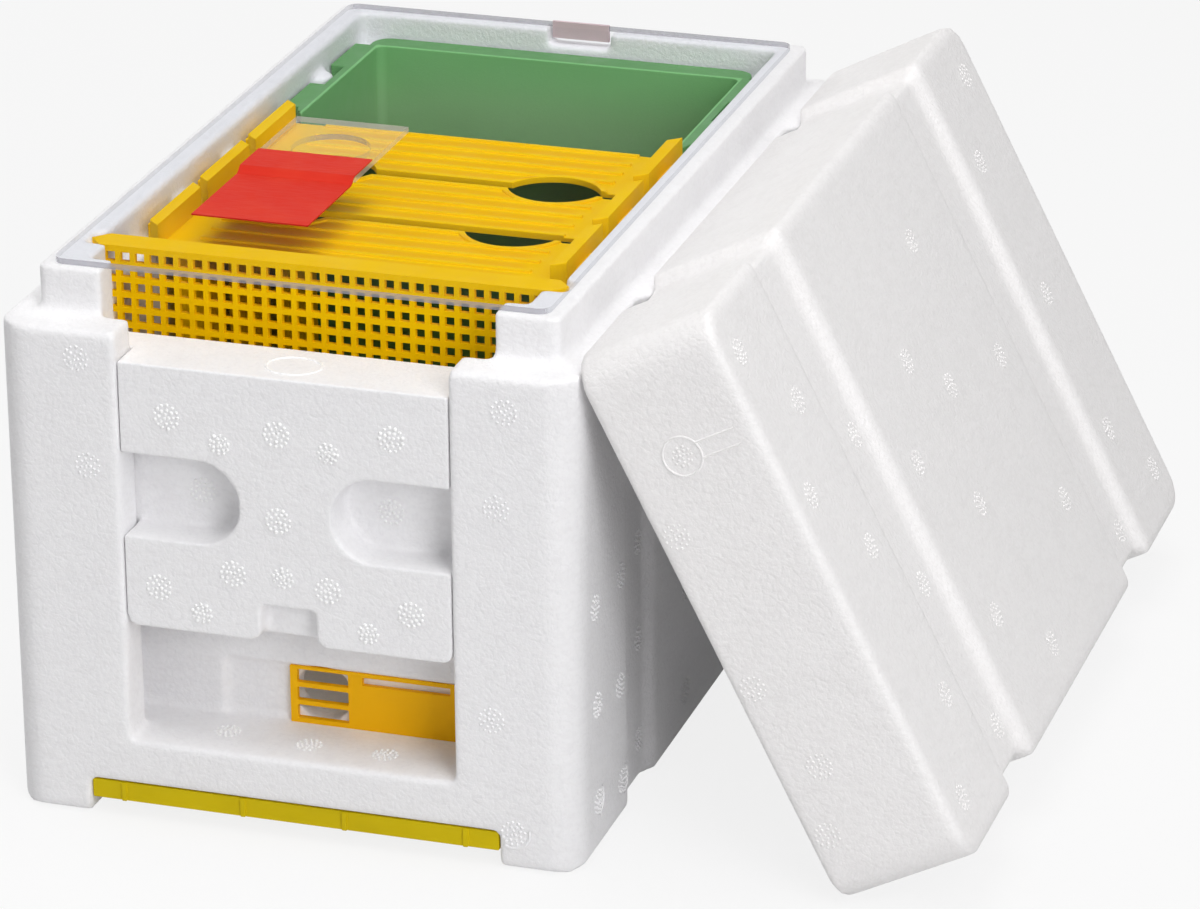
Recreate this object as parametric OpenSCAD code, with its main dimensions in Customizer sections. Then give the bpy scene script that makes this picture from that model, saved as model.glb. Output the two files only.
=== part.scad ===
/*
  Small polystyrene nucleus hive: an open-topped box with a sliding front gate, an entrance
  slider, a vent grille, three hanging frames, a feeder tub, a clear inner cover with a taped
  flap, a sliding floor, and its thick roof lid leaning against the right shoulder.

  Frame: +X right, +Y to the rear, +Z up. The origin is the centre of the box's footprint
  on the ground. Millimetres and degrees.
*/

/* [Part] */
// Names of all separate pieces
// Piece to draw

/* [Box] */
// Outside width of the box
box_w = 150; // [144:1:170]
// Outside length of the box
box_l = 240; // [234:1:270]
// Height of the outer shoulder that the lid sits on
shoulder_h = 130.6; // [128:0.2:150]
// Rise of the rim above the shoulder
rim_h = 11.4; // [10.4:0.2:14]
// Width of the shoulder outside the rim
shoulder_w = 7.5; // [6.5:0.5:8.5]
// Thickness of the rim along the sides
rim_t = 7.5; // [6.5:0.5:8]
// Thickness of the rim at the rear
rim_rear_t = 6.5; // [6:0.5:9.5]
// Thickness of the side walls
side_wall = 20.3; // [19.5:0.1:22]
// Thickness of the rear wall
rear_wall = 20; // [18.5:0.5:22]
// Radius of the upright corners
corner_r = 9; // [6:0.5:12]
// Radius of the level outer edges
edge_r = 2; // [1:0.25:3]
// Width of each foot rail
foot_w = 20.4; // [16:0.2:24]
// Height of the channel between the foot rails
channel_h = 9.6; // [9:0.2:14]
// Thickness of the floor
floor_t = 12; // [9:0.5:16]
// Drop from the rim's top to the shelf that carries the frames and the feeder
shelf_drop = 10; // [9.4:0.2:11]
// Width of the finger notch in the rear rim
notch_w = 18; // [17.5:0.5:26]
// Depth of the finger notch in the rear rim
notch_d = 4.6; // [4.2:0.2:5.4]
// Place of the finger notch across the rim
notch_x = 3.4; // [-20:0.2:20]
// Width of the opening in the floor
floor_hole_w = 72; // [50:1:80]
// Length of the opening in the floor
floor_hole_l = 90; // [60:1:100]
// Radius of that opening's corners
floor_hole_r = 8; // [4:1:12]

/* [Strap grooves] */
// Distance of each groove's centre from the box's middle
groove_y = 67; // [60:1:72]
// Width of a groove at its bottom
groove_low_w = 18; // [14:1:20]
// Width of a groove at its mouth
groove_top_w = 24; // [22:1:28]
// Depth of a groove
groove_d = 3; // [2:0.25:4]

/* [Front] */
// Depth of the two front pillars
pillar_t = 11.5; // [10.5:0.25:13]
// Gap between the two front pillars
pillar_gap = 86; // [76:1:92]
// Depth of the gate's groove behind the pillars
slot_t = 10.5; // [9.5:0.25:12]
// Width of the gate's groove
slot_w = 102; // [96:1:106]
// Thickness of the inner front wall
inner_wall_t = 9; // [7:0.5:11]
// Drop from the shoulder to the inner front wall's sill
sill_drop = 30.6; // [24:0.2:34]
// Reach of the vent window beyond the chamber's sides
vent_reach = 2.3; // [0.5:0.1:3]
// Distance of the rim's front end from the box's front
rim_set_front = 12; // [11.5:0.25:13]
// Radius of the round entrance
entrance_r = 7.5; // [6:0.25:7.5]
// Height of the round entrance's centre
entrance_z = 29.6; // [29.6:0.1:30.4]
// Place of the round entrance across the front
entrance_x = 0; // [-2:0.5:3]

/* [Gate] */
// Drop from the sill to the top of the lowered gate
gate_short = 8.3; // [4:0.1:12]
// Distance of the raised gate's top below the rim's top
gate_head = 18.8; // [18.4:0.1:26]
// Width of the notch in the gate's lower edge
gate_notch_w = 14.4; // [10:0.2:18]
// Height of that notch
gate_notch_h = 9.5; // [7:0.5:12]
// Depth of that notch from the gate's front
gate_notch_d = 5.3; // [4:0.1:8]
// Radius of the gate's corners beside that notch
gate_notch_r = 3; // [1:0.5:4]
// Height of the finger recesses
finger_h = 22; // [18:1:24]
// Distance of each finger recess's inner centre from the middle
finger_x = 23; // [21:0.5:26]
// Radius of the gate's lower corners
gate_corner_r = 2.5; // [2:0.5:6]

/* [Entrance slider] */
// Length of the slider
slider_l = 57.2; // [54:0.2:57.6]
// Height of the slider
slider_h = 15.6; // [14.8:0.2:15.8]
// Thickness of the slider
slider_t = 1.6; // [1.2:0.1:1.7]
// Depth of the track that the slider lies in
track_d = 1.9; // [1.9:0.1:2.6]
// Height of the track
track_h = 16; // [16:0.2:17]
// Left end of the track
track_x = -26; // [-27:0.5:-25]
// Left end of the slider
slider_x = -8.2; // [-8.6:0.2:-7.8]
// Distance of the barred window from the slider's left end
window_set = 1.9; // [1.5:0.1:2.4]
// Width of the slider's barred window
window_w = 13.6; // [12:0.2:14]
// Number of gaps in the barred window
window_rows = 3; // [2:1:3]
// Gap between the window's bars
window_gap = 3.6; // [3.2:0.1:3.7]
// Thickness of the window's bars
window_bar = 1.3; // [1.1:0.1:1.4]
// Height of the lowest window gap above the slider's lower edge
window_foot = 1.4; // [1.2:0.1:1.6]
// Distance of the long slot from the slider's left end
slider_slot_set = 19.3; // [18:0.1:22]
// Height of the long slot above the slider's lower edge
slider_slot_z = 12.4; // [11:0.1:12.6]
// Length of the slider's long slot
slider_slot_l = 23.3; // [18:0.5:26]
// Height of the slider's long slot
slider_slot_h = 2.1; // [1.2:0.1:2.2]

/* [Vent grille] */
// Thickness of the grille
grille_t = 1.6; // [1.2:0.1:1.8]
// Spacing of the holes across the grille
grille_pitch_x = 3.87; // [3.8:0.01:3.9]
// Spacing of the holes up the grille
grille_pitch_z = 4; // [3.8:0.05:4.1]
// Side of each square hole
grille_hole = 2.5; // [1.8:0.1:2.7]
// Least plain edge beside the holes
grille_edge = 0.5; // [0.4:0.1:2]
// Least distance of the lowest row of holes above the sill
grille_foot = 2; // [1.4:0.1:4]
// Overlap of the grille behind the sill
grille_tuck = 2; // [1:0.5:4]
// Distance of the top row of holes below the grille's top
grille_head = 2.9; // [2.8:0.1:3.4]
// Depth of the grille's top flange
flange_d = 7.9; // [6.5:0.1:8.4]
// Reach of the flange's pointed ears beyond the plate
flange_ear = 3.5; // [2.5:0.25:3.75]

/* [Frames] */
// Spacing of the frames
frame_pitch = 34.5; // [34:0.1:36]
// Distance of the front frame's centre behind the inner front wall
frame_set = 38; // [34:0.5:40]
// Width of a top bar
bar_w = 30.5; // [28:0.5:32]
// Thickness of a top bar
bar_t = 1.2; // [1:0.1:2]
// Height of a top bar's ribs above the lugs' underside
bar_rise = 2.4; // [2:0.1:3]
// Height of the ribs along a top bar
rib_h = 0.6; // [0.4:0.1:1.2]
// Width of those ribs
rib_w = 1.6; // [1:0.1:2.4]
// Number of those ribs
rib_n = 5; // [3:1:6]
// Distance of the ribs' ends from the end plates
rib_end = 8; // [2:0.5:12]
// Length of an end plate
plate_l = 33; // [32:0.25:33.4]
// Thickness of an end plate
plate_t = 3.3; // [2.5:0.1:4]
// Set-back of an end plate's slanted ends
plate_slant = 3; // [1:0.25:4]
// Height of an end plate
plate_h = 7.8; // [6:0.2:8.4]
// Width of a frame's lug
lug_w = 12; // [8:0.5:16]
// Thickness of a frame's lug
lug_t = 3.6; // [2.5:0.1:5]
// Width of a frame's side bars
side_bar_w = 22; // [16:1:26]
// Thickness of a frame's side and bottom bars
side_bar_t = 3; // [2.4:0.2:4]
// Width of a frame's bottom bar
bottom_bar_w = 10; // [6:1:16]
// Gap between a frame's side bars and the chamber's walls
bee_gap = 5.5; // [4.5:0.25:7]
// Gap between a frame's bottom bar and the floor
frame_rise = 6; // [5:0.5:9]
// Distance of each crescent notch from the bar's middle
crescent_x = 30.8; // [28:0.2:33]
// Half width of a crescent notch
crescent_hw = 12; // [10:0.1:14]
// Depth of a crescent notch
crescent_d = 7.75; // [5:0.25:8.5]
// Width of the raised band around a crescent notch
band_w = 1.6; // [1:0.1:2]

/* [Feeder] */
// Gap between the rear frame's end plates and the feeder
feeder_gap = 1.5; // [1:0.5:9]
// Thickness of the feeder's walls
feeder_wall = 1.4; // [1.2:0.1:2.4]
// Width of the feeder's lip at its sides
feeder_lip = 1.2; // [0.8:0.1:2.4]
// Width of the feeder's lip at its rear
feeder_lip_rear = 6; // [2:0.2:6]
// Thickness of the feeder's lip
feeder_lip_t = 1.8; // [1.4:0.1:2.2]
// Drop of the feeder's low front wall below the lip
feeder_front_drop = 12; // [4:0.5:20]
// Radius of the feeder's corners
feeder_r = 4; // [3:0.5:8]
// Gap between the feeder and the floor
feeder_rise = 8; // [6:0.5:20]
// Length of each side tab of the feeder
tab_l = 20; // [10:0.5:20]
// Gap between a side's two tabs
tab_gap = 16; // [11:0.5:17]
// Distance of that gap's middle from the feeder's rear wall
tab_set = 29.4; // [28:0.2:32]
// Height of the tabs, which end level with the lip
tab_h = 3.5; // [2.6:0.1:4.4]

/* [Inner cover] */
// Thickness of the clear sheet
cover_t = 1.5; // [1:0.1:2]
// Distance of the sheet's sides inside the rim's outer face
cover_in = 3.3; // [2:0.1:4]
// Distance of the sheet's front edge behind the rim's front end
cover_in_front = 1.8; // [1:0.1:4]
// Distance of the sheet's rear edge inside the rim's rear face
cover_in_rear = 4; // [3.6:0.1:4.6]
// Radius of the sheet's corners
cover_r = 3; // [1:0.5:6]
// Radius of the round hole in the sheet
cell_hole_r = 10.4; // [8:0.2:12]
// Place of that hole across the sheet
cell_hole_x = -26.9; // [-34:0.1:34]
// Place of that hole along the sheet
cell_hole_y = -9; // [-30:0.5:30]
// Width of the flap
flap_w = 31.1; // [28:0.1:36]
// Length of the flap
flap_l = 41; // [38:0.5:46]
// Thickness of the flap
flap_t = 1.5; // [1:0.1:2]
// Distance of the hole's centre behind the flap's front edge
flap_set = 24.5; // [22:0.5:26]
// Thickness of the tape
tape_t = 0.4; // [0.3:0.1:0.5]
// Length of the tape on the flap
tape_flap_l = 13; // [8:0.5:18]
// Length of the tape on the sheet
tape_cover_l = 31.5; // [16:0.5:36]
// Gap left at the fold between the two lengths of tape
tape_fold = 3; // [2.8:0.1:4]
// Width of the small tab at the sheet's rear edge
tab_w = 16.3; // [12:0.1:17]
// Drop of that tab below the sheet's top
tab_drop = 4.7; // [3:0.1:5.4]
// Thickness of that tab
tab_t = 0.8; // [0.6:0.1:1.2]

/* [Floor slide] */
// Thickness of the sliding floor
slide_t = 1.9; // [1.5:0.1:2.2]
// Height of the slide's front lip
slide_lip_h = 5; // [4:0.2:5.4]
// Thickness of the slide's front lip
slide_lip_t = 2; // [1.6:0.1:3]
// Length of the slide
slide_l = 230; // [200:1:231]
// Distance of the front lip behind the box's front
slide_set = 0.8; // [0.6:0.1:1.5]
// Height of the fine ribs on the lip
slide_rib = 0.5; // [0.3:0.1:0.5]
// Width of those fine ribs
slide_rib_w = 1.3; // [0.8:0.1:2]
// Distance of the two inner fine ribs from the slide's middle
slide_rib_in = 13.5; // [8:0.5:20]
// Distance of the two outer fine ribs from the slide's sides
slide_rib_set = 8.6; // [4:0.2:14]
// Width of the ledges that carry the slide
ledge_w = 2.2; // [1.6:0.1:3]
// Height of the ledges that carry the slide
ledge_h = 2; // [1.6:0.1:2.2]

/* [Lid] */
// Thickness of the lid
lid_h = 37; // [33:0.5:42]
// Depth of the hollow under the lid
lid_hollow_d = 17; // [16:0.5:18]
// Clearance between the lid's hollow and the rim
lid_play = 1; // [0.6:0.1:1.5]
// Lean of the lid from upright, in degrees
lid_lean = 27; // [24:0.5:32]
// Shift of the leaning lid to the rear
lid_shift = 2.6; // [0:0.1:6]

/* [Hidden] */
// Facets of a full circle
$fn = 64;
// Overrun of every cut past the face that it opens
over = 1;
// Gap between level faces that rest on one another
seat = 0.1;
// Gap of a sliding or lifting fit
fit = 0.3;
// Wider gap of a loose fit
loose = 0.5;
// Gap between pieces that lift past one another
free = 1;

// Half the box's width
box_hw = box_w / 2;
// Front and rear faces of the box
front_y = -box_l / 2;
rear_y = box_l / 2;
// Top of the rim
rim_top = shoulder_h + rim_h;
// Outer half width, front end and rear face of the rim
rim_hw = box_hw - shoulder_w;
rim_front_y = front_y + rim_set_front;
rim_rear_y = rear_y - shoulder_w;
// Inner half width of the chamber, and of the space above the shelves
cavity_hw = box_hw - side_wall;
shelf_hw = rim_hw - rim_t;
// Planes of the front's layers, from the front inwards
pillar_back_y = front_y + pillar_t;
slot_back_y = pillar_back_y + slot_t;
cavity_front_y = slot_back_y + inner_wall_t;
// Rear planes of the chamber and of the space above the shelves
cavity_rear_y = rear_y - rear_wall;
shelf_rear_y = rim_rear_y - rim_rear_t;
// Levels of the floor, of the front sill and of the shelf
floor_z = channel_h + floor_t;
sill_h = shoulder_h - sill_drop;
shelf_z = rim_top - shelf_drop;
// Half width of the channel under the floor
channel_hw = box_hw - foot_w - fit;

// Outer planes of the frames' end plates and lugs
plate_x = cavity_hw + loose;
lug_x = shelf_hw - free;
// Centres of the frames
frame_front_y = cavity_front_y + frame_set;
frame_middle_y = frame_front_y + frame_pitch;
frame_rear_y = frame_middle_y + frame_pitch;
// Underside of the frames' lugs and end plates, and the top of the flat top bar
lug_z = shelf_z + seat;
bar_top = lug_z + bar_rise - rib_h;
bar_low = bar_top - bar_t;
// Outer plane of the frames' side bars
side_bar_x = cavity_hw - bee_gap;
// Lower end of the frames
frame_low_z = floor_z + frame_rise;
// Radius of a crescent notch, and its centre's distance outside the bar's edge
crescent_r = (crescent_hw * crescent_hw + crescent_d * crescent_d) / (2 * crescent_d);
crescent_out = crescent_r - crescent_d;
// Radius of the locating bumps on the shelves
bump_r = shelf_hw - plate_x - fit - seat;
// Height of the locating bumps
bump_h = 3.5;

// Planes of the feeder's tub, and the level of its lip and tabs
feeder_front_y = frame_rear_y + plate_l / 2 + feeder_gap;
feeder_rear_y = cavity_rear_y - free;
feeder_len = feeder_rear_y - feeder_front_y;
feeder_mid_y = (feeder_front_y + feeder_rear_y) / 2;
feeder_hw = cavity_hw - free;
feeder_top = shelf_z + seat + tab_h;
feeder_low_z = floor_z + feeder_rise;
tab_x = shelf_hw - free;
tab_mid_y = feeder_rear_y - tab_set;

// Planes of the grille
grille_front_y = cavity_front_y + fit + seat;
grille_top = rim_top - loose;
grille_hw = shelf_hw - free;
grille_low_z = sill_h - grille_tuck;
// Holes across the grille and rows of holes, as many as its plate takes
grille_cols = floor(2 * (grille_hw - grille_edge) / grille_pitch_x);
grille_rows = 1 + floor((grille_top - grille_head - sill_h - grille_foot) / grille_pitch_z);

// Gate sizes
gate_h = sill_h - gate_short - floor_z;
gate_low_z = rim_top - gate_head - gate_h;
gate_plate_hw = pillar_gap / 2 - fit;
gate_tongue_hw = slot_w / 2 - fit;
gate_face_y = front_y + free;
tongue_front_y = pillar_back_y + fit;
tongue_back_y = slot_back_y - fit;

// Planes of the inner cover and its flap
cover_z = rim_top + seat;
cover_top = cover_z + cover_t;
cover_hw = rim_hw - cover_in;
cover_front_y = rim_front_y + cover_in_front;
cover_rear_y = rim_rear_y - cover_in_rear;
flap_z = cover_top + seat;
flap_front_y = cell_hole_y - flap_set;

// Planes of the sliding floor
slide_top = channel_h - fit;
slide_hw = channel_hw - fit;
lip_front_y = front_y + slide_set;
ledge_top = slide_top - slide_t - fit;
ledge_front_y = lip_front_y + slide_lip_t + fit;

// Place of the lid's lower edge on the ground: a tall lid leans on the shoulder's round edge,
// and a lid that ends below the shoulder leans its own edge on the side wall
lid_foot_shoulder = (shoulder_h - edge_r) * tan(lid_lean) + (edge_r + fit) / cos(lid_lean) - edge_r;
lid_foot_wall = box_w * sin(lid_lean) + fit;
lid_foot_x = box_hw + min(lid_foot_shoulder, lid_foot_wall);

// Colours of the materials
white = [0.93, 0.94, 0.95];
yellow = [1.0, 0.78, 0.02];
orange = [0.86, 0.6, 0.02];
green = [0.13, 0.42, 0.16];
clear = [0.86, 0.87, 0.92, 0.35];
red = [0.86, 0.2, 0.16];
mauve = [0.68, 0.63, 0.66];

// Box between two corners
module span(a, b) {
  translate(a)
    cube(b - a);
}

// Flat rectangle with rounded corners, centred
module plan(w, l, r) {
  square([w - 2 * r, l], center = true);
  square([w, l - 2 * r], center = true);
  for (sx = [-1, 1], sy = [-1, 1])
    translate([sx * (w / 2 - r), sy * (l / 2 - r)])
      circle(r);
}

// Upright block with rounded corners, from the height z up
module block(w, l, h, r, z) {
  translate([0, 0, z])
    linear_extrude(h)
      plan(w, l, r);
}

// Solid with rounded corners all round: the common part of its plan, its front and its side
module soft_block(w, l, h, r, e) {
  intersection() {
    block(w, l, h, r, 0);
    translate([0, l / 2, h / 2])
      rotate([90, 0, 0])
        linear_extrude(l)
          plan(w, h, e);
    translate([-w / 2, 0, h / 2])
      rotate([90, 0, 90])
        linear_extrude(w)
          plan(l, h, e);
  }
}

// Cross-section of a strap groove, cut downwards from the line y = 0
module groove_shape() {
  slope = (groove_top_w - groove_low_w) / 2 / groove_d;
  mouth = groove_top_w / 2 + slope * over;
  low = groove_low_w / 2;
  polygon([[-mouth, over], [-low, -groove_d], [low, -groove_d], [mouth, over]]);
}

// Upright strap groove in a side face at x = hw, over the height h
module side_groove(hw, h, y) {
  translate([hw, y, -over])
    rotate([0, 0, -90])
      linear_extrude(h + 2 * over)
        groove_shape();
}

// Pair of strap grooves in both long sides
module side_grooves(hw, h) {
  for (y = [-groove_y, groove_y]) {
    side_groove(hw, h, y);
    mirror([1, 0, 0])
      side_groove(hw, h, y);
  }
}

// Chamber, shelves and rear finger notch, as one cutting shape
module chamber() {
  top = rim_top + over;
  mid = notch_w / 2;
  span([-cavity_hw, cavity_front_y, floor_z], [cavity_hw, cavity_rear_y, top]);
  span([-shelf_hw, cavity_front_y, shelf_z], [shelf_hw, shelf_rear_y, top]);
  span([notch_x - mid, cavity_rear_y, rim_top - notch_d], [notch_x + mid, rim_rear_y + over, top]);
}

// Porch, gate groove, vent window, grille slots, entrance and slider track, as one cutting shape
module front_cuts() {
  top = rim_top + over;
  gap = pillar_gap / 2;
  slot = slot_w / 2;
  vent_hw = cavity_hw + vent_reach;
  ear = grille_hw + flange_ear + loose;
  slot_hw = grille_hw + fit;
  slot_end_y = grille_front_y + grille_t + fit;
  ear_end_y = grille_front_y + flange_d + loose;
  ear_z = grille_top - grille_t - fit;
  span([-gap, front_y - over, floor_z], [gap, pillar_back_y + over, top]);
  span([-slot, pillar_back_y, floor_z], [slot, slot_back_y, top]);
  span([-vent_hw, slot_back_y - over, sill_h], [vent_hw, cavity_front_y + over, top]);
  span([-slot_hw, cavity_front_y, grille_low_z - seat], [slot_hw, slot_end_y, top]);
  span([-ear, cavity_front_y, ear_z], [ear, ear_end_y, top]);
  span([track_x, slot_back_y - over, floor_z], [slot, slot_back_y + track_d, floor_z + track_h]);
  translate([entrance_x, cavity_front_y + over, entrance_z])
    rotate([90, 0, 0])
      cylinder(r = entrance_r, h = inner_wall_t + 2 * over);
}

// Channel under the floor with the ledges for the slide left standing, and the floor's opening
module floor_cuts() {
  end = rear_y + over;
  inner = channel_hw - ledge_w;
  hole_y = (frame_front_y + frame_rear_y) / 2;
  span([-inner, front_y - over, -over], [inner, end, channel_h]);
  span([-channel_hw, front_y - over, -over], [channel_hw, ledge_front_y, channel_h]);
  span([-channel_hw, front_y - over, ledge_top], [channel_hw, end, channel_h]);
  span([-channel_hw, front_y - over, -over], [channel_hw, end, ledge_top - ledge_h]);
  translate([0, hole_y, 0])
    block(floor_hole_w, floor_hole_l, floor_z + over - ledge_top, floor_hole_r, ledge_top);
}

// Half-round bumps that keep the frames and the feeder in place along the shelves
module bump(y, z) {
  for (side = [-1, 1])
    translate([side * shelf_hw, y, z - over])
      cylinder(r = bump_r, h = bump_h + over);
}

// Box with foot rails, floor, walls, rim and front
module hive_body() {
  rim_mid_y = (rim_front_y + rim_rear_y) / 2;
  color(white)
    union() {
      difference() {
        union() {
          soft_block(box_w, box_l, shoulder_h, corner_r, edge_r);
          translate([0, rim_mid_y, 0])
            block(2 * rim_hw, rim_rear_y - rim_front_y, rim_h + over, edge_r, shoulder_h - over);
        }
        chamber();
        front_cuts();
        floor_cuts();
        side_grooves(box_hw, shoulder_h);
      }
      bump((frame_front_y + frame_middle_y) / 2, shelf_z);
      bump((frame_middle_y + frame_rear_y) / 2, shelf_z);
      bump(tab_mid_y, shelf_z);
    }
}

// Roof lid in its own upright place, its rim side on z = 0
module lid_shape() {
  hollow_front = rim_front_y - lid_play;
  hollow_rear = rim_rear_y + lid_play;
  difference() {
    intersection() {
      translate([0, 0, -edge_r])
        soft_block(box_w, box_l, lid_h + edge_r, corner_r, edge_r);
      block(box_w, box_l, lid_h, corner_r, 0);
    }
    translate([0, (hollow_front + hollow_rear) / 2, 0])
      block(2 * (rim_hw + lid_play), hollow_rear - hollow_front, lid_hollow_d + over, corner_r, -over);
    side_grooves(box_hw, lid_h);
    for (y = [-groove_y, groove_y])
      translate([-box_hw - over, y, lid_h])
        rotate([90, 0, 90])
          linear_extrude(box_w + 2 * over)
            groove_shape();
  }
}

// Roof lid leaning on the right shoulder
module lid() {
  color(white)
    translate([lid_foot_x - box_hw * sin(lid_lean), lid_shift, box_hw * cos(lid_lean)])
      rotate([0, 90 - lid_lean, 0])
        lid_shape();
}

// Front of the gate: a plate with rounded lower corners and two finger recesses
module gate_face() {
  r = gate_corner_r;
  hw = gate_plate_hw;
  reach = hw - finger_x + over;
  difference() {
    union() {
      translate([-hw, r])
        square([2 * hw, gate_h - r]);
      translate([r - hw, 0])
        square([2 * (hw - r), gate_h]);
      for (side = [-1, 1])
        translate([side * (hw - r), r])
          circle(r);
    }
    for (side = [0, 1])
      mirror([side, 0])
        translate([finger_x, gate_h / 2]) {
          circle(finger_h / 2);
          translate([0, -finger_h / 2])
            square([reach, finger_h]);
        }
  }
}

// Notch in the gate's lower edge, which flares out to the rounded corners beside it
module gate_notch() {
  hw = gate_notch_w / 2;
  r = gate_notch_r;
  difference() {
    translate([-hw - r, -over])
      square([2 * (hw + r), gate_notch_h + over]);
    for (side = [0, 1])
      mirror([side, 0]) {
        translate([hw + r, r])
          circle(r);
        translate([hw, r])
          square([r + over, gate_notch_h]);
      }
  }
}

// Gate: its front plate between the pillars and its wider tongue in the groove behind them
module front_gate() {
  color(white)
    union() {
      difference() {
        translate([0, tongue_front_y + over, gate_low_z])
          rotate([90, 0, 0])
            linear_extrude(tongue_front_y + over - gate_face_y)
              gate_face();
        translate([0, gate_face_y + gate_notch_d, gate_low_z])
          rotate([90, 0, 0])
            linear_extrude(gate_notch_d + over)
              gate_notch();
      }
      span(
        [-gate_tongue_hw, tongue_front_y, gate_low_z],
        [gate_tongue_hw, tongue_back_y, gate_low_z + gate_h]
      );
    }
}

// Entrance slider with its barred window and its long slot
module entrance_slider() {
  back = slot_back_y + track_d - seat;
  step = window_gap + window_bar;
  color(orange)
    translate([slider_x, back, floor_z + seat])
      rotate([90, 0, 0])
        linear_extrude(slider_t)
          difference() {
            square([slider_l, slider_h]);
            for (i = [0 : window_rows - 1])
              translate([window_set, window_foot + i * step])
                square([window_w, window_gap]);
            translate([slider_slot_set, slider_slot_z])
              square([slider_slot_l, slider_slot_h]);
          }
}

// Vent grille: a plate of square holes with a top flange that ends in pointed ears
module vent_grille() {
  tip = grille_hw + flange_ear;
  first_x = -grille_pitch_x * (grille_cols - 1) / 2;
  first_z = grille_top - grille_head;
  color(yellow)
    union() {
      translate([0, grille_front_y + grille_t, 0])
        rotate([90, 0, 0])
          linear_extrude(grille_t)
            difference() {
              translate([-grille_hw, grille_low_z])
                square([2 * grille_hw, grille_top - grille_low_z]);
              for (i = [0 : grille_cols - 1], k = [0 : grille_rows - 1])
                translate([first_x + i * grille_pitch_x, first_z - k * grille_pitch_z])
                  square(grille_hole, center = true);
            }
      translate([0, grille_front_y, grille_top - grille_t])
        linear_extrude(grille_t)
          polygon([
            [-grille_hw, 0], [grille_hw, 0], [tip, flange_d / 2], [grille_hw, flange_d],
            [-grille_hw, flange_d], [-tip, flange_d / 2]
          ]);
    }
}

// Outline of a frame's top bar, its two crescent notches in the edge towards +y
module bar_plan(grow) {
  intersection() {
    square([2 * plate_x, bar_w], center = true);
    for (side = [-1, 1])
      translate([side * crescent_x, bar_w / 2 + crescent_out])
        circle(crescent_r + grow);
  }
}

// Plan of an end plate, its two ends slanted alike so that neighbours lie end to end
module end_plate_plan(slant) {
  half = plate_l / 2;
  inner = plate_x - plate_t;
  ahead = max(slant, 0);
  behind = max(-slant, 0);
  polygon([
    [inner, behind - half], [plate_x, ahead - half], [plate_x, half - behind], [inner, half - ahead]
  ]);
}

// One hanging frame: ribbed top bar, end plates, lugs, side bars and bottom bar
module frame(slant) {
  bar_hw = plate_x - plate_t / 2;
  rib_step = (bar_w - rib_w) / (rib_n - 1);
  rib_hw = plate_x - plate_t - rib_end;
  plate_in = plate_x - plate_t;
  side_in = side_bar_x - side_bar_t;
  color(yellow)
    difference() {
      union() {
        span([-bar_hw, -bar_w / 2, bar_low], [bar_hw, bar_w / 2, bar_top]);
        for (i = [0 : rib_n - 1])
          translate([-rib_hw, i * rib_step - bar_w / 2, bar_top - seat])
            cube([2 * rib_hw, rib_w, rib_h + seat]);
        translate([0, 0, bar_top - seat])
          linear_extrude(rib_h + seat)
            bar_plan(band_w);
        for (side = [0, 1])
          mirror([side, 0, 0]) {
            translate([0, 0, lug_z])
              linear_extrude(plate_h)
                end_plate_plan(slant);
            span([plate_in, -lug_w / 2, lug_z], [lug_x, lug_w / 2, lug_z + lug_t]);
            span([side_in, -side_bar_w / 2, frame_low_z], [side_bar_x, side_bar_w / 2, bar_low + seat]);
          }
        span(
          [-side_bar_x, -bottom_bar_w / 2, frame_low_z],
          [side_bar_x, bottom_bar_w / 2, frame_low_z + side_bar_t]
        );
      }
      translate([0, 0, bar_low - over])
        linear_extrude(bar_t + rib_h + 2 * over)
          bar_plan(0);
    }
}

// Front frame, its notches towards the rear
module frame_front() {
  translate([0, frame_front_y, 0])
    frame(plate_slant);
}

// Middle frame, its notches towards the rear
module frame_middle() {
  translate([0, frame_middle_y, 0])
    frame(plate_slant);
}

// Rear frame, turned end for end so that its notches face the middle frame's
module frame_rear() {
  translate([0, frame_rear_y, 0])
    rotate([0, 0, 180])
      frame(-plate_slant);
}

// Feeder tub with a flat lip, a low front wall and two hanging tabs on each side
module feeder() {
  inner_hw = feeder_hw - feeder_wall;
  tab_y = tab_gap / 2;
  color(green)
    difference() {
      union() {
        translate([0, feeder_mid_y, 0])
          block(2 * feeder_hw, feeder_len, feeder_top - feeder_low_z, feeder_r, feeder_low_z);
        translate([0, feeder_mid_y + feeder_lip_rear / 2, 0])
          block(
            2 * (feeder_hw + feeder_lip), feeder_len + feeder_lip_rear, feeder_lip_t,
            feeder_r + feeder_lip, feeder_top - feeder_lip_t
          );
        for (side = [0, 1], end = [0, 1])
          mirror([side, 0, 0])
            translate([0, tab_mid_y, 0])
              mirror([0, end, 0])
                span([inner_hw, tab_y, feeder_top - tab_h], [tab_x, tab_y + tab_l, feeder_top]);
      }
      translate([0, feeder_mid_y, 0])
        block(
          2 * inner_hw, feeder_len - 2 * feeder_wall, feeder_top - feeder_low_z,
          feeder_r - feeder_wall, feeder_low_z + feeder_wall
        );
      span(
        [-inner_hw, feeder_front_y - over, feeder_top - feeder_front_drop],
        [inner_hw, feeder_front_y + feeder_r, feeder_top + over]
      );
    }
}

// Clear sheet on the rim, with its round hole
module inner_cover() {
  color(clear)
    difference() {
      translate([0, (cover_front_y + cover_rear_y) / 2, 0])
        block(2 * cover_hw, cover_rear_y - cover_front_y, cover_t, cover_r, cover_z);
      translate([cell_hole_x, cell_hole_y, cover_z - over])
        cylinder(r = cell_hole_r, h = cover_t + 2 * over);
    }
}

// Strip as wide as the flap, from one distance behind the flap's front edge to another
module flap_strip(from, to, z, t) {
  translate([cell_hole_x - flap_w / 2, flap_front_y + from, z])
    cube([flap_w, to - from, t]);
}

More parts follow.
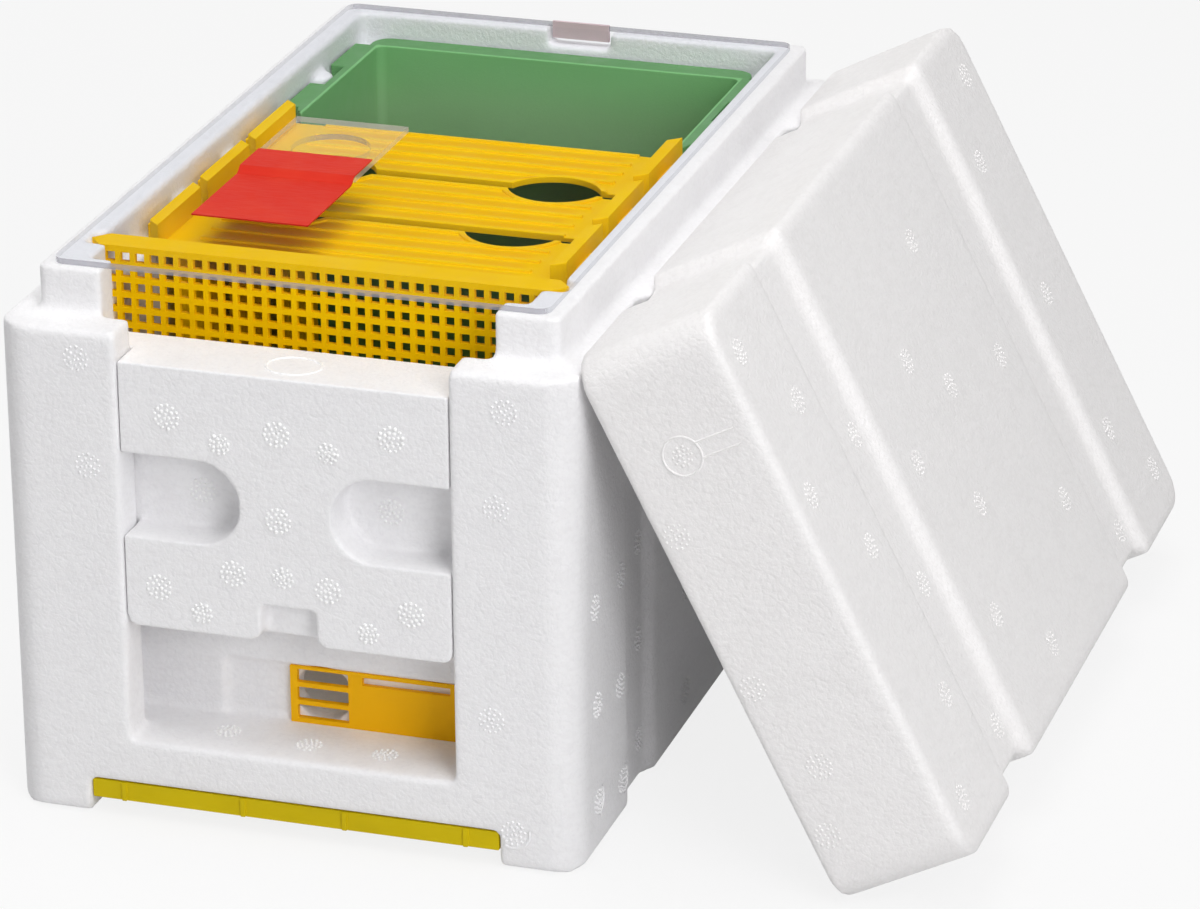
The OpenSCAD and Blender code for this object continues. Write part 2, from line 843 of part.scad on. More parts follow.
// Clear flap over the hole
module cell_flap() {
  color(clear)
    flap_strip(0, flap_l, flap_z, flap_t);
}

// Tape on the sheet
module flap_tape_fixed() {
  color(red)
    flap_strip(-tape_fold - tape_cover_l, -tape_fold, cover_top, tape_t);
}

// Tape on the flap
module flap_tape_moving() {
  color(red)
    flap_strip(0, tape_flap_l, flap_z + flap_t, tape_t);
}

// Small tab that hangs from the sheet's rear edge into the finger notch
module cover_tab() {
  color(mauve)
    translate([notch_x - tab_w / 2, cover_rear_y, cover_top - tab_drop])
      cube([tab_w, tab_t, tab_drop]);
}

// Sliding floor with its ribbed front lip
module floor_slide() {
  low = slide_top - slide_t;
  lip_low = slide_top - slide_lip_h;
  color(orange)
    union() {
      span([-slide_hw, lip_front_y, low], [slide_hw, lip_front_y + slide_l, slide_top]);
      span([-slide_hw, lip_front_y, lip_low], [slide_hw, lip_front_y + slide_lip_t, slide_top]);
      for (side = [0, 1], x = [slide_rib_in, slide_hw - slide_rib_set])
        mirror([side, 0, 0])
          translate([x - slide_rib_w / 2, lip_front_y - slide_rib, lip_low])
            cube([slide_rib_w, slide_rib + seat, slide_lip_h]);
    }
}

hive_body();
lid();
front_gate();
entrance_slider();
vent_grille();
frame_front();
frame_middle();
frame_rear();
feeder();
inner_cover();
cell_flap();
flap_tape_fixed();
flap_tape_moving();
cover_tab();
floor_slide();
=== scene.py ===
"""Dressed scene of a small foam nucleus hive with its lid leaning on its right shoulder.

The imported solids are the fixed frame, in metres: +X right, +Y to the rear, +Z up, with the
origin at the centre of the box's footprint. Foam and plastic pieces are softened copies of
their solids, and vent marks, mould marks and the tape are surfaces worked out with numpy.
Sizes of shapes are given in millimetres, those of finishes and of the studio in metres.
"""

import logging
from dataclasses import dataclass, field
from enum import Enum
from typing import Any, Union

import bmesh
import bpy
import numpy as np
from mathutils import Matrix, Vector


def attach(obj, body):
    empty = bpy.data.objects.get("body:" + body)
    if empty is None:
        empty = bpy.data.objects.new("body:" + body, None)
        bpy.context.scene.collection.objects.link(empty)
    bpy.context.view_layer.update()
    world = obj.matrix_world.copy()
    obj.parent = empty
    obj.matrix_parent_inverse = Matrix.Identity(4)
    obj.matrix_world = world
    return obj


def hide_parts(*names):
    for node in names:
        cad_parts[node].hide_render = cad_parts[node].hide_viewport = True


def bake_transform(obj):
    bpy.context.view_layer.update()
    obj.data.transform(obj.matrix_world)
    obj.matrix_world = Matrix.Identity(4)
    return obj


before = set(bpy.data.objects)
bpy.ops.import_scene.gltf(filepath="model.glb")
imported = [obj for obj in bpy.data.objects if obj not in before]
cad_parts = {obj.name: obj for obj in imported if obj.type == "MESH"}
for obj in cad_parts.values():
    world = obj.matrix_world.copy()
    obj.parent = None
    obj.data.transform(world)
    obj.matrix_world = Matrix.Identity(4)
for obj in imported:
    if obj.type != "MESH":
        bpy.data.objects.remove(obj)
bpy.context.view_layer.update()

LOG = logging.getLogger("nucleus_hive")
MM = 0.001
Point = tuple[float, float, float]
Colour = tuple[float, float, float]
Pair = tuple[float, float]
Spots = tuple[Pair, ...]
Arcs = tuple[tuple[float, float, float, float], ...]
RIGHT: Point = (1.0, 0.0, 0.0)
LEFT: Point = (-1.0, 0.0, 0.0)
BACK: Point = (0.0, 1.0, 0.0)
UP: Point = (0.0, 0.0, 1.0)
WHITE: Colour = (1.0, 1.0, 1.0)


# ---------------------------------------------------------------- shader maths


class Wire:
    """One socket of a node tree, with arithmetic that adds the nodes it needs."""

    def __init__(self, graph: "Graph", socket: bpy.types.NodeSocket) -> None:
        """Keeps the tree and the socket."""
        self.graph = graph
        self.socket = socket

    def _math(self, operation: str, *values: "Value") -> "Wire":
        """Adds one Math node on the given values."""
        return self.graph.node("ShaderNodeMath", {"operation": operation}, dict(enumerate(values)))

    def __add__(self, other: "Value") -> "Wire":
        """Sum."""
        return self._math("ADD", self, other)

    def __sub__(self, other: "Value") -> "Wire":
        """Difference."""
        return self._math("SUBTRACT", self, other)

    def __rsub__(self, other: "Value") -> "Wire":
        """Difference from a plain number."""
        return self._math("SUBTRACT", other, self)

    def __mul__(self, other: "Value") -> "Wire":
        """Product."""
        return self._math("MULTIPLY", self, other)

    def __truediv__(self, other: "Value") -> "Wire":
        """Quotient."""
        return self._math("DIVIDE", self, other)

    def __pow__(self, other: "Value") -> "Wire":
        """Power."""
        return self._math("POWER", self, other)

    def __abs__(self) -> "Wire":
        """Size without its sign."""
        return self._math("ABSOLUTE", self)

    def __gt__(self, other: "Value") -> "Wire":
        """One where this is the greater, else zero."""
        return self._math("GREATER_THAN", self, other)

    def __lt__(self, other: "Value") -> "Wire":
        """One where this is the lesser, else zero."""
        return self._math("LESS_THAN", self, other)

    def fraction(self) -> "Wire":
        """What is left over a whole number."""
        return self._math("FRACT", self)

    def cosine(self) -> "Wire":
        """Cosine of an angle in radians."""
        return self._math("COSINE", self)

    def ramp(self, low: float, high: float, start: float = 0.0, end: float = 1.0) -> "Wire":
        """Smooth step of this value.

        Args:
            low: Value at which the step starts.
            high: Value at which it ends.
            start: Result below low.
            end: Result above high.

        Returns:
            The stepped value.
        """
        return self.graph.node(
            "ShaderNodeMapRange",
            {"interpolation_type": "SMOOTHSTEP"},
            {"Value": self, "From Min": low, "From Max": high, "To Min": start, "To Max": end},
        )


Value = Union[Wire, float, int, tuple]


class Graph:
    """Node tree of a material or of the world, with a single method that adds any node."""

    def __init__(self, owner: bpy.types.Material | bpy.types.World) -> None:
        """Turns on the owner's nodes and empties its tree."""
        owner.use_nodes = True
        self.owner = owner
        self.tree = owner.node_tree
        self.tree.nodes.clear()

    def _add(self, kind: str, settings: dict[str, Any], inputs: dict[Any, Value]) -> bpy.types.Node:
        """Makes a node with its properties set and its inputs filled."""
        made = self.tree.nodes.new(kind)
        for key, value in settings.items():
            setattr(made, key, value)
        for key, value in inputs.items():
            socket = made.inputs[key]
            if isinstance(value, Wire):
                self.tree.links.new(value.socket, socket)
            else:
                socket.default_value = value
        return made

    def node(self, kind: str, settings: dict[str, Any] | None = None,
             inputs: dict[Any, Value] | None = None, output: Any = 0) -> Wire:
        """Adds a node.

        Args:
            kind: Blender's name of the node's type.
            settings: Properties that are set first.
            inputs: Plain values or wires, by socket name or number.
            output: Name or number of the socket that is handed back.

        Returns:
            The chosen output as a wire.
        """
        return Wire(self, self._add(kind, settings or {}, inputs or {}).outputs[output])

    def position(self) -> Wire:
        """Object coordinates, in metres."""
        return self.node("ShaderNodeTexCoord", output="Object")

    def axes(self) -> list[Wire]:
        """The three parts of the object coordinates."""
        place = self.position()
        return [self.node("ShaderNodeSeparateXYZ", inputs={0: place}, output=axis)
                for axis in "XYZ"]

    def normal_axis(self, axis: str) -> Wire:
        """One part of the surface's own normal."""
        normal = self.node("ShaderNodeNewGeometry", output="True Normal")
        return self.node("ShaderNodeSeparateXYZ", inputs={0: normal}, output=axis)

    def stretched(self, scale: Point) -> Wire:
        """Object coordinates with each axis multiplied by its own number."""
        return self.node("ShaderNodeMapping", inputs={"Vector": self.position(), "Scale": scale})

    def noise(self, scale: float, detail: float = 3.0, rough: float = 0.55,
              place: Wire | None = None, output: Any = 0) -> Wire:
        """Soft noise from zero to one.

        Args:
            scale: Number of waves in one unit of the place.
            detail: Number of finer layers.
            rough: Weight of each finer layer against the one before.
            place: Where the noise is read, by default the object coordinates.
            output: Socket that is handed back, the first for one number or "Color" for three.

        Returns:
            The noise.
        """
        return self.node("ShaderNodeTexNoise", inputs={
            "Vector": self.position() if place is None else place,
            "Scale": scale, "Detail": detail, "Roughness": rough,
        }, output=output)

    def blend(self, share: Value, first: Value, second: Value) -> Wire:
        """Colour between two colours, the second where the share is one."""
        def colour(value: Value) -> Value:
            """A plain colour gets its fourth number."""
            return value if isinstance(value, Wire) else (*value, 1.0)

        return self.node(
            "ShaderNodeMix", {"data_type": "RGBA"},
            {0: share, 6: colour(first), 7: colour(second)}, output=2,
        )

    def bump(self, height: Wire, depth: float, under: Wire | None = None) -> Wire:
        """Normal that a height of zero to one gives at a depth in metres, over one under it."""
        inputs: dict[Any, Value] = {"Height": height, "Distance": depth}
        if under is not None:
            inputs["Normal"] = under
        return self.node("ShaderNodeBump", inputs=inputs)

    def seen_directly(self) -> Wire:
        """One for a ray from the camera, a gloss or a clear piece, else zero."""
        camera, gloss, clear = (self.node("ShaderNodeLightPath", output=name) for name in (
            "Is Camera Ray", "Is Glossy Ray", "Is Transmission Ray"))
        return (camera + gloss + clear) > 0.5

    def surface(self, shader: Wire) -> bpy.types.Material | bpy.types.World:
        """Ends the tree in its output and hands back its owner."""
        place = "World" if isinstance(self.owner, bpy.types.World) else "Material"
        self._add(f"ShaderNodeOutput{place}", {}, {"Surface": shader})
        return self.owner


# ---------------------------------------------------------------- finishes


@dataclass(frozen=True)
class BeadFoam:
    """White moulded bead foam: pressed beads with faint seams, specks, streaks and scuffs."""

    name: str = "white_bead_foam"
    light: Colour = (0.932, 0.927, 0.938)
    seam: Colour = (0.85, 0.843, 0.86)
    scuff: Colour = (0.885, 0.876, 0.886)
    bead_scale: float = 420.0
    bead_shift: float = 0.0022
    shift_scale: float = 160.0
    seam_width: float = 0.22
    seam_share: float = 0.4
    patch_scale: float = 90.0
    speck_scale: float = 820.0
    speck_share: float = 0.55
    streak_scale: float = 190.0
    streak_squash: float = 3.2
    scuff_share: float = 0.6
    grain_scale: float = 1000.0
    bead_part: float = 0.6
    bead_depth: float = 0.00006
    grain_depth: float = 0.00022
    roughness: Pair = (0.5, 0.68)
    gloss: float = 0.4

    def material(self) -> bpy.types.Material:
        """Beads are cells: their seams are darker and lower, and noise adds specks and scuffs."""
        g = Graph(bpy.data.materials.new(self.name))
        place = g.node(
            "ShaderNodeVectorMath", {"operation": "MULTIPLY_ADD"},
            {0: g.noise(self.shift_scale, detail=1.0, rough=0.5, output="Color"),
             1: (self.bead_shift,) * 3, 2: g.position()},
        )
        gap = g.node(
            "ShaderNodeTexVoronoi", {"feature": "DISTANCE_TO_EDGE"},
            {"Vector": place, "Scale": self.bead_scale}, output="Distance",
        )
        bead = gap.ramp(0.0, self.seam_width)
        patch = g.noise(self.patch_scale, detail=2.0).ramp(0.4, 0.75)
        speck = g.noise(self.speck_scale, rough=0.65).ramp(0.46, 0.74)
        long = g.stretched((1.0, 1.0, self.streak_squash))
        streak = g.noise(self.streak_scale, rough=0.5, place=long)
        grain = g.noise(self.grain_scale, rough=0.62)
        colour = g.blend((1.0 - bead) * patch * self.seam_share, self.light, self.seam)
        colour = g.blend(speck * self.speck_share, colour, self.seam)
        colour = g.blend(streak.ramp(0.45, 0.75) * self.scuff_share, colour, self.scuff)
        relief = bead * self.bead_part + streak * (1.0 - self.bead_part)
        normal = g.bump(grain, self.grain_depth, under=g.bump(relief, self.bead_depth))
        return g.surface(g.node("ShaderNodeBsdfPrincipled", inputs={
            "Base Color": colour, "Roughness": grain.ramp(0.3, 0.7, *self.roughness),
            "Normal": normal, "Specular IOR Level": self.gloss,
        }))


@dataclass(frozen=True)
class MouldedPlastic:
    """Injection-moulded plastic: even colour with slow flow shades and a fine mould grain."""

    name: str
    colour: Colour
    shade: Colour
    roughness: float = 0.45
    gloss: float = 0.15
    flow_scale: float = 38.0
    flow_share: float = 0.7
    grain_scale: float = 1100.0
    grain_depth: float = 0.00004
    wear_scale: float = 140.0
    polish: float = 0.06
    wear: float = 0.1

    def tone(self, g: Graph) -> Wire:
        """Slow noise shifts the colour to its shade."""
        flow = g.noise(self.flow_scale, detail=2.0).ramp(0.35, 0.7)
        return g.blend(flow * self.flow_share, self.colour, self.shade)

    def material(self) -> bpy.types.Material:
        """Fine noise is the grain and the uneven gloss over the plastic's tone."""
        g = Graph(bpy.data.materials.new(self.name))
        rough = g.noise(self.wear_scale).ramp(
            0.3, 0.75, self.roughness - self.polish, self.roughness + self.wear)
        return g.surface(g.node("ShaderNodeBsdfPrincipled", inputs={
            "Base Color": self.tone(g), "Roughness": rough,
            "Normal": g.bump(g.noise(self.grain_scale, detail=2.0), self.grain_depth),
            "Specular IOR Level": self.gloss,
        }))


@dataclass(frozen=True)
class PaintedLightTub(MouldedPlastic):
    """Plastic of a deep tub; the paler inner walls, greyer with depth, are painted light."""

    upper: Colour = (0.23, 0.555, 0.21)
    deep: Colour = (0.32, 0.53, 0.26)
    lip_z: float = 0.137
    deep_z: float = 0.112
    middle_y: float = 0.0675
    inner_x: float = 0.053
    inner_y: float = 0.0308

    def tone(self, g: Graph) -> Wire:
        """Inside the tub alone, painted light: the upper wall's colour goes over to the deep one.
        """
        x, y, z = g.axes()
        inside = (abs(x) < self.inner_x) * (abs(y - self.middle_y) < self.inner_y)
        # painted light: the inner walls go from a lit green below the lip to a greyer green lower
        # down
        wall = g.blend(z.ramp(self.deep_z, self.lip_z), self.deep, self.upper)
        return g.blend(inside, super().tone(g), wall)


@dataclass(frozen=True)
class RibbedPlastic(MouldedPlastic):
    """Plastic of the frames, with painted shade in the hollows between a top bar's ribs."""

    dip_shade: Colour = (0.93, 0.47, 0.001)
    dip_shade_share: float = 0.7
    crest: float = 0.6
    frame_pitch: float = 0.0345
    first_y: float = -0.051
    rib_step: float = 0.007225
    rib_reach: float = 0.044
    rib_fade: float = 0.006
    low_z: float = 0.125

    def tone(self, g: Graph) -> Wire:
        """A cosine across each frame, with its crests on the ribs, sets the share of painted shade.
        """
        x, y, z = g.axes()
        across = ((y - self.first_y) / self.frame_pitch + 0.5).fraction() - 0.5
        wave = (across * (2.0 * np.pi * self.frame_pitch / self.rib_step)).cosine()
        top = (g.normal_axis("Z") > 0.5) * (z > self.low_z)
        ribbed = top * abs(x).ramp(self.rib_reach - self.rib_fade, self.rib_reach, 1.0, 0.0)
        # painted shade: the hollows between ribs on upward faces take a deeper orange
        painted_dip_shade = wave.ramp(-1.0, self.crest, self.dip_shade_share, 0.0)
        return g.blend(painted_dip_shade * ribbed, super().tone(g), self.dip_shade)


@dataclass(frozen=True)
class ClearSheet:
    """Clear plastic sheet: little shows on its faces; its edges hold a painted reflection."""

    name: str = "clear_sheet"
    face: Colour = (0.90, 0.91, 0.94)
    # grey edge colour: a painted reflection of the surroundings in the clear edges
    edge: Colour = (0.36, 0.35, 0.40)
    through: Colour = (0.965, 0.97, 0.98)
    haze: float = 0.001
    edge_reflection_share: float = 0.22
    front_reflection_share: float = 0.4
    sheen_power: float = 5.0
    sheen_share: float = 0.02
    dust_scale: float = 60.0
    dust_share: float = 0.003
    roughness: Pair = (0.06, 0.16)
    gloss: float = 0.6

    def material(self) -> bpy.types.Material:
        """Gloss by the angle of view, fine dust, and painted reflection on the edges."""
        g = Graph(bpy.data.materials.new(self.name))
        edge = 1.0 - abs(g.normal_axis("Z")).ramp(0.3, 0.8)
        front = (0.0 - g.normal_axis("Y")).ramp(0.4, 0.9)
        dust = g.noise(self.dust_scale, detail=4.0).ramp(0.45, 0.8)
        facing = g.node("ShaderNodeLayerWeight", inputs={"Blend": 0.5}, output="Facing")
        sheen = facing ** self.sheen_power * self.sheen_share
        # painted reflection: edges take the edge colour, most of all those facing the front
        painted_edge_reflection = edge * (front * self.front_reflection_share + self.edge_reflection_share)
        share = (sheen + dust * self.dust_share + self.haze) * (1.0 - edge) + painted_edge_reflection
        seen = g.node("ShaderNodeBsdfPrincipled", inputs={
            "Base Color": g.blend(edge, self.face, self.edge),
            "Roughness": dust.ramp(0.0, 1.0, *self.roughness), "Specular IOR Level": self.gloss,
        })
        clear = g.node("ShaderNodeBsdfTransparent", inputs={"Color": (*self.through, 1.0)})
        return g.surface(g.node("ShaderNodeMixShader", inputs={0: share, 1: clear, 2: seen}))


@dataclass(frozen=True)
class GlossTape:
    """Red vinyl tape with a faint stretch grain across it."""

    name: str = "red_tape"
    colour: Colour = (0.68, 0.028, 0.013)
    pale: Colour = (0.74, 0.052, 0.022)
    patch_scale: float = 55.0
    patch_share: float = 0.6
    streak_scale: Point = (260.0, 1400.0, 260.0)
    streak_depth: float = 0.00003
    roughness: Pair = (0.5, 0.62)
    gloss: float = 0.1

    def material(self) -> bpy.types.Material:
        """Slow noise makes paler patches, and streaked noise the stretch grain."""
        g = Graph(bpy.data.materials.new(self.name))
        patch = g.noise(self.patch_scale, detail=2.0).ramp(0.4, 0.75)
        streak = g.noise(1.0, detail=2.0, rough=0.5, place=g.stretched(self.streak_scale))
        return g.surface(g.node("ShaderNodeBsdfPrincipled", inputs={
            "Base Color": g.blend(patch * self.patch_share, self.colour, self.pale),
            "Roughness": streak.ramp(0.3, 0.7, *self.roughness),
            "Normal": g.bump(streak, self.streak_depth), "Specular IOR Level": self.gloss,
        }))


@dataclass(frozen=True)
class PaleFloor:
    """Plain pale studio floor that shows nearly white to the camera and keeps a soft shadow."""

    name: str = "studio_floor"
    colour: Colour = (0.74, 0.74, 0.74)
    patch_scale: float = 3.0
    patch_tone: float = 0.99
    glow: float = 0.84

    def material(self) -> bpy.types.Material:
        """The floor is matt; rays from the camera or a gloss see part of it as white light."""
        g = Graph(bpy.data.materials.new(self.name))
        patch = tuple(part * self.patch_tone for part in self.colour)
        tone = g.blend(g.noise(self.patch_scale), self.colour, patch)
        matt = g.node("ShaderNodeBsdfDiffuse", inputs={"Color": tone})
        white = g.node("ShaderNodeEmission", inputs={"Strength": 1.0})
        share = g.seen_directly() * self.glow
        return g.surface(g.node("ShaderNodeMixShader", inputs={0: share, 1: matt, 2: white}))


class Finish(Enum):
    """Every finish of the object, with the record's slot that it stands for."""

    FOAM = ("polystyrene", BeadFoam())
    LID_FOAM = ("polystyrene", BeadFoam(
        "lid_bead_foam", (0.93, 0.916, 0.914), (0.85, 0.834, 0.83), (0.882, 0.866, 0.864)))
    # painted highlight: a lighter copy of the foam for the pips and the gate's top ring, which
    # catch more light
    PIP = ("polystyrene", BeadFoam(
        "brightened_pip_foam", (0.965, 0.965, 0.965), (0.93, 0.93, 0.93), (0.95, 0.95, 0.95)))
    YELLOW = ("yellow_plastic", MouldedPlastic(
        "yellow_plastic", (1.0, 0.62, 0.001), (0.96, 0.56, 0.001), gloss=0.03))
    # frame plastic with painted shade between the ribs of the top bars
    FRAME = ("yellow_plastic", RibbedPlastic(
        "ribbed_plastic", (1.0, 0.64, 0.001), (0.98, 0.58, 0.001), gloss=0.03))
    ORANGE = ("orange_plastic", MouldedPlastic(
        "orange_plastic", (1.0, 0.53, 0.0008), (0.94, 0.47, 0.0008), roughness=0.5))
    OLIVE = ("orange_plastic", MouldedPlastic(
        "olive_plastic", (0.68, 0.52, 0.001), (0.58, 0.43, 0.001), roughness=0.5))
    # green plastic; the tub's inner walls carry painted light
    GREEN = ("green_plastic", PaintedLightTub(
        "green_plastic", (0.135, 0.35, 0.122), (0.12, 0.315, 0.11), roughness=0.42))
    CLEAR = ("clear_plastic", ClearSheet())
    # the flap's pale edge colour is a painted reflection in its clear edges
    FLAP = ("clear_plastic", ClearSheet(
        "clear_flap", edge=(0.86, 0.85, 0.84), haze=0.06, edge_reflection_share=0.4, front_reflection_share=0.1))
    RED = ("red_tape", GlossTape())
    MAUVE = ("mauve_tab", MouldedPlastic(
        "mauve_tab", (0.70, 0.545, 0.585), (0.64, 0.50, 0.54), roughness=0.5))

    @property
    def slot(self) -> str:
        """The record's slot."""
        return self.value[0]

    @property
    def material(self) -> bpy.types.Material:
        """The material, made at its first use under a name that no solid's material has."""
        recipe = self.value[1]
        name = "finish_" + recipe.name
        found = bpy.data.materials.get(name)
        if found is None:
            found = recipe.material()
            found.name = name
        return found


# ---------------------------------------------------------------- mesh helpers


def linked(name: str, mesh: bpy.types.Mesh) -> bpy.types.Object:
    """New object at the origin that shows a mesh."""
    made = bpy.data.objects.new(name, mesh)
    bpy.context.scene.collection.objects.link(made)
    return made


def dressed(piece: bpy.types.Object, finish: Finish) -> bpy.types.Object:
    """Gives a piece its one material."""
    piece.data.materials.clear()
    piece.data.materials.append(finish.material)
    return piece


def finished(piece: bpy.types.Object, body: str, *nodes: str) -> bpy.types.Object:
    """Lets a piece ride on its body, stand for any nodes, and reports it."""
    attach(piece, body)
    if nodes:
        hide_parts(*nodes)
    LOG.info("%s rides on %s", piece.name, body)
    return piece


def mesh_object(name: str, points: np.ndarray, faces: np.ndarray, finish: Finish,
                smooth: bool = True) -> bpy.types.Object:
    """Makes a dressed object at the origin from whole arrays.

    Args:
        name: Name of the piece.
        points: Corners in metres, with three numbers on the last axis.
        faces: Corner numbers, one row for each face.
        finish: What the piece is made of.
        smooth: Whether its faces are shaded as one curved surface.

    Returns:
        The new object.
    """
    mesh = bpy.data.meshes.new(name)
    mesh.from_pydata(points.reshape(-1, 3).tolist(), [], faces.tolist())
    mesh.polygons.foreach_set("use_smooth", np.full(len(mesh.polygons), smooth))
    mesh.validate()
    return dressed(linked(name, mesh), finish)


def grid_faces(rows: int, columns: int, wrap: bool = False) -> np.ndarray:
    """Quads of a grid whose corners run row by row, joined end to start where it wraps."""
    row, column = np.meshgrid(
        np.arange(rows - 1), np.arange(columns if wrap else columns - 1), indexing="ij")
    after = (column + 1) % columns
    low, high = row * columns, (row + 1) * columns
    quads = np.stack([low + column, low + after, high + after, high + column], axis=-1)
    return quads.reshape(-1, 4)


def oval(middle: Pair, reach: Pair, count: int) -> np.ndarray:
    """Points around an oval, evenly spaced by angle, as rows of two numbers.

    Args:
        middle: The oval's centre.
        reach: Its half width and half height.
        count: Number of points.

    Returns:
        The points, in order.
    """
    angle = np.linspace(0.0, 2.0 * np.pi, count, endpoint=False)
    turned = np.stack([np.cos(angle), np.sin(angle)], axis=-1)
    return np.array(middle) + np.array(reach) * turned


@dataclass(frozen=True)
class Face:
    """A flat face of a foam piece: a point on it and the unit directions along and up it."""

    origin: Point
    along: Point
    up: Point

    def place(self, u: np.ndarray, v: np.ndarray, n: np.ndarray) -> np.ndarray:
        """Points on the face or off it.

        Args:
            u: Distances along the face, in millimetres.
            v: Distances up the face.
            n: Distances out of the face.

        Returns:
            The points in metres, on a new last axis.
        """
        a, b = np.array(self.along), np.array(self.up)
        parts = u[..., None] * a + v[..., None] * b + n[..., None] * np.cross(a, b)
        return (np.array(self.origin) + parts) * MM


# ---------------------------------------------------------------- copies of solids


@dataclass
class SolidCopy:
    """A piece that starts as a copy of one solid and stands for it."""

    name: str
    node: str
    body: str
    finish: Finish
    weld: float = field(default=0.002, kw_only=True)

    def copy(self) -> bpy.types.Mesh:
        """Copy of the solid's mesh with its loose triangles joined at their corners."""
        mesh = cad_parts[self.node].data.copy()
        mesh.name = self.name
        mesh.materials.clear()
        work = bmesh.new()
        work.from_mesh(mesh)
        bmesh.ops.remove_doubles(work, verts=work.verts, dist=self.weld * MM)
        work.to_mesh(mesh)
        work.free()
        return mesh

    @staticmethod
    def smooth(mesh: bpy.types.Mesh) -> None:
        """Shades a mesh as one curved surface."""
        mesh.polygons.foreach_set("use_smooth", np.ones(len(mesh.polygons), bool))

    def dress(self, made: bpy.types.Object) -> bpy.types.Object:
        made.modifiers.new("flat_faces", "WEIGHTED_NORMAL").keep_sharp = True
        return finished(dressed(made, self.finish), self.body, self.node)


@dataclass
class FoamPiece(SolidCopy):
    """Foam skin of a solid: cast on a fine grid, with every edge worn soft, then thinned."""

    cell: float
    wear: int
    keep: float
    upright: Matrix = field(default_factory=lambda: Matrix.Identity(4))
    softness: float = 0.5

    def build(self) -> bpy.types.Object:
        """Works the skin in the piece's upright place and puts it back where the solid is."""
        mesh = self.copy()
        mesh.transform(self.upright)
        rough = linked(self.name + "_rough", mesh)
        self._cast(rough)
        graph = bpy.context.evaluated_depsgraph_get()
        skin = bpy.data.meshes.new_from_object(rough.evaluated_get(graph))
        bpy.data.objects.remove(rough)
        skin.name = self.name
        skin.transform(self.upright.inverted())
        self.smooth(skin)
        return self.dress(linked(self.name, skin))

    def _cast(self, rough: bpy.types.Object) -> None:
        """Adds the grid casting, the wear of the edges and the thinning of flat faces."""
        cast = rough.modifiers.new("cast", "REMESH")
        cast.mode, cast.voxel_size = "VOXEL", self.cell * MM
        worn = rough.modifiers.new("worn_edges", "SMOOTH")
        worn.factor, worn.iterations = self.softness, self.wear
        rough.modifiers.new("thinned", "DECIMATE").ratio = self.keep


@dataclass
class MouldedPiece(SolidCopy):
    """A plastic piece: a copy of its solid with its sharp edges eased."""

    ease: float
    swell: float = 0.0
    segments: int = 2
    edge_angle: float = 28.0

    def build(self) -> bpy.types.Object:
        """Rounds the copy's edges and, where asked, lets its faces stand a hair proud."""
        mesh = self.copy()
        self.smooth(mesh)
        made = linked(self.name, mesh)
        bevel = made.modifiers.new("eased_edges", "BEVEL")
        bevel.width, bevel.segments = self.ease * MM, self.segments
        bevel.limit_method, bevel.angle_limit = "ANGLE", np.radians(self.edge_angle)
        bevel.use_clamp_overlap = False
        if self.swell:
            fuller = made.modifiers.new("fuller", "DISPLACE")
            fuller.mid_level, fuller.strength = 0.0, self.swell * MM
        return self.dress(made)


# ---------------------------------------------------------------- mould marks


class VentSize(Enum):
    """Sizes of a vent mark: the radii of its rings of pips and the number in each ring."""

    LARGE = ((0.65, 1.85, 3.05), (3, 8, 13))
    SMALL = ((0.55, 1.55, 2.45), (3, 7, 10))


Mark = tuple[Face, float, float, VentSize]


def marks_on(face: Face, spots: Spots, size: VentSize = VentSize.LARGE) -> list[Mark]:
    """Vent marks of one size at spots along and up a face."""
    return [(face, u, v, size) for u, v in spots]


